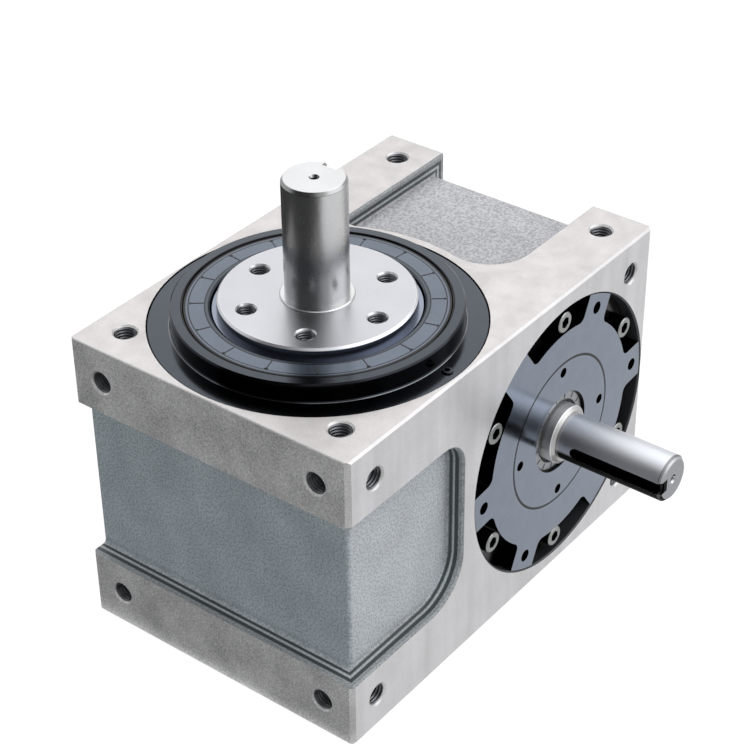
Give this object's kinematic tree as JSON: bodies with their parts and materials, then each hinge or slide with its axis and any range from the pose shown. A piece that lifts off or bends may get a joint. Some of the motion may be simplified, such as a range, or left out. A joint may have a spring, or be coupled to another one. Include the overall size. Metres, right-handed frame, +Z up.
{
  "type": "gear indexer",
  "caption": "Box-shaped globoidal cam indexing gearbox with a keyed side input shaft, a top output flange with a keyed shaft, and tapped mounting holes on every face.",
  "frame": {"origin": "on the base plane, under the output axis", "axes": "+Z up along the output axis, +X towards the input side of the box, the input shaft leaves towards -Y"},
  "size_m": [0.225, 0.2085, 0.218],
  "materials": {
    "cast_iron": "ground outer faces, painted grey recesses",
    "black_oxide": "turned and black oxidised",
    "dark_steel": "turned, thinly blackened",
    "bright_steel": "ground, bright",
    "hardened_steel": "hardened and ground",
    "bearing_steel": "polished",
    "seal_rubber": "matt, moulded",
    "zinc_steel": "bright, small hardware",
    "brass": "turned, dull",
    "clear_glass": "clear"
  },
  "bodies": {
    "gearbox": {"housing": "cast_iron", "top_bearing_cover": "black_oxide", "cover_lock_screw": "black_oxide", "output_oil_seal": "seal_rubber", "bottom_cover": "dark_steel", "bottom_cover_screws": "zinc_steel", "upper_bearing_cup": "bearing_steel", "lower_bearing_cup": "bearing_steel", "front_bearing_cup": "bearing_steel", "rear_bearing_cup": "bearing_steel", "front_bearing_flange": "dark_steel", "front_flange_screws": "zinc_steel", "front_flange_seal": "seal_rubber", "front_bearing_cap": "dark_steel", "input_oil_seal": "seal_rubber", "rear_bearing_flange": "dark_steel", "rear_flange_screws": "zinc_steel", "rear_flange_seal": "seal_rubber", "rear_bearing_cap": "dark_steel", "oil_fill_plug": "zinc_steel", "oil_drain_plug": "zinc_steel", "sight_glass_bezel": "brass", "sight_glass_window": "clear_glass"},
    "input": {"input_shaft": "bright_steel", "globoidal_cam": "hardened_steel", "cam_key": "dark_steel", "cam_retaining_ring": "dark_steel", "front_bearing_cone": "bearing_steel", "rear_bearing_cone": "bearing_steel"},
    "output": {"turret_flange": "bright_steel", "output_shaft": "bright_steel", "follower_studs": "hardened_steel", "upper_bearing_cone": "bearing_steel", "lower_bearing_cone": "bearing_steel"},
    "roller_1": {"cam_roller_1": "bearing_steel"},
    "roller_2": {"cam_roller_2": "bearing_steel"},
    "roller_3": {"cam_roller_3": "bearing_steel"},
    "roller_4": {"cam_roller_4": "bearing_steel"},
    "roller_5": {"cam_roller_5": "bearing_steel"},
    "roller_6": {"cam_roller_6": "bearing_steel"},
    "roller_7": {"cam_roller_7": "bearing_steel"},
    "roller_8": {"cam_roller_8": "bearing_steel"},
    "upper_rollers": {"upper_bearing_rollers": "bearing_steel"},
    "lower_rollers": {"lower_bearing_rollers": "bearing_steel"},
    "front_rollers": {"front_bearing_rollers": "bearing_steel"},
    "rear_rollers": {"rear_bearing_rollers": "bearing_steel"}
  },
  "joints": [
    {"name": "input_spin", "type": "hinge", "parent": "gearbox", "child": "input", "pos_m": [0.08, 0, 0.075], "axis": [0, 1, 0], "continuous": true},
    {"name": "output_spin", "type": "hinge", "parent": "gearbox", "child": "output", "pos_m": [0, 0, 0], "axis": [0, 0, 1], "continuous": true},
    {"name": "roller_1_spin", "type": "hinge", "parent": "output", "child": "roller_1", "pos_m": [0, 0, 0.075], "axis": [0.9239, 0.3827, 0], "continuous": true},
    {"name": "roller_2_spin", "type": "hinge", "parent": "output", "child": "roller_2", "pos_m": [0, 0, 0.075], "axis": [0.3827, 0.9239, 0], "continuous": true},
    {"name": "roller_3_spin", "type": "hinge", "parent": "output", "child": "roller_3", "pos_m": [0, 0, 0.075], "axis": [-0.3827, 0.9239, 0], "continuous": true},
    {"name": "roller_4_spin", "type": "hinge", "parent": "output", "child": "roller_4", "pos_m": [0, 0, 0.075], "axis": [-0.9239, 0.3827, 0], "continuous": true},
    {"name": "roller_5_spin", "type": "hinge", "parent": "output", "child": "roller_5", "pos_m": [0, 0, 0.075], "axis": [-0.9239, -0.3827, 0], "continuous": true},
    {"name": "roller_6_spin", "type": "hinge", "parent": "output", "child": "roller_6", "pos_m": [0, 0, 0.075], "axis": [-0.3827, -0.9239, 0], "continuous": true},
    {"name": "roller_7_spin", "type": "hinge", "parent": "output", "child": "roller_7", "pos_m": [0, 0, 0.075], "axis": [0.3827, -0.9239, 0], "continuous": true},
    {"name": "roller_8_spin", "type": "hinge", "parent": "output", "child": "roller_8", "pos_m": [0, 0, 0.075], "axis": [0.9239, -0.3827, 0], "continuous": true},
    {"name": "upper_rollers_spin", "type": "hinge", "parent": "gearbox", "child": "upper_rollers", "pos_m": [0, 0, 0], "axis": [0, 0, 1], "continuous": true},
    {"name": "lower_rollers_spin", "type": "hinge", "parent": "gearbox", "child": "lower_rollers", "pos_m": [0, 0, 0], "axis": [0, 0, 1], "continuous": true},
    {"name": "front_rollers_spin", "type": "hinge", "parent": "gearbox", "child": "front_rollers", "pos_m": [0.08, 0, 0.075], "axis": [0, 1, 0], "continuous": true},
    {"name": "rear_rollers_spin", "type": "hinge", "parent": "gearbox", "child": "rear_rollers", "pos_m": [0.08, 0, 0.075], "axis": [0, 1, 0], "continuous": true}
  ],
  "couplings": [
    {"joint": "output_spin", "follows": "input_spin", "ratio": 0.125},
    {"joint": "upper_rollers_spin", "follows": "input_spin", "ratio": 0.05774},
    {"joint": "lower_rollers_spin", "follows": "input_spin", "ratio": 0.05576},
    {"joint": "front_rollers_spin", "follows": "input_spin", "ratio": 0.4186},
    {"joint": "rear_rollers_spin", "follows": "input_spin", "ratio": 0.4186}
  ]
}
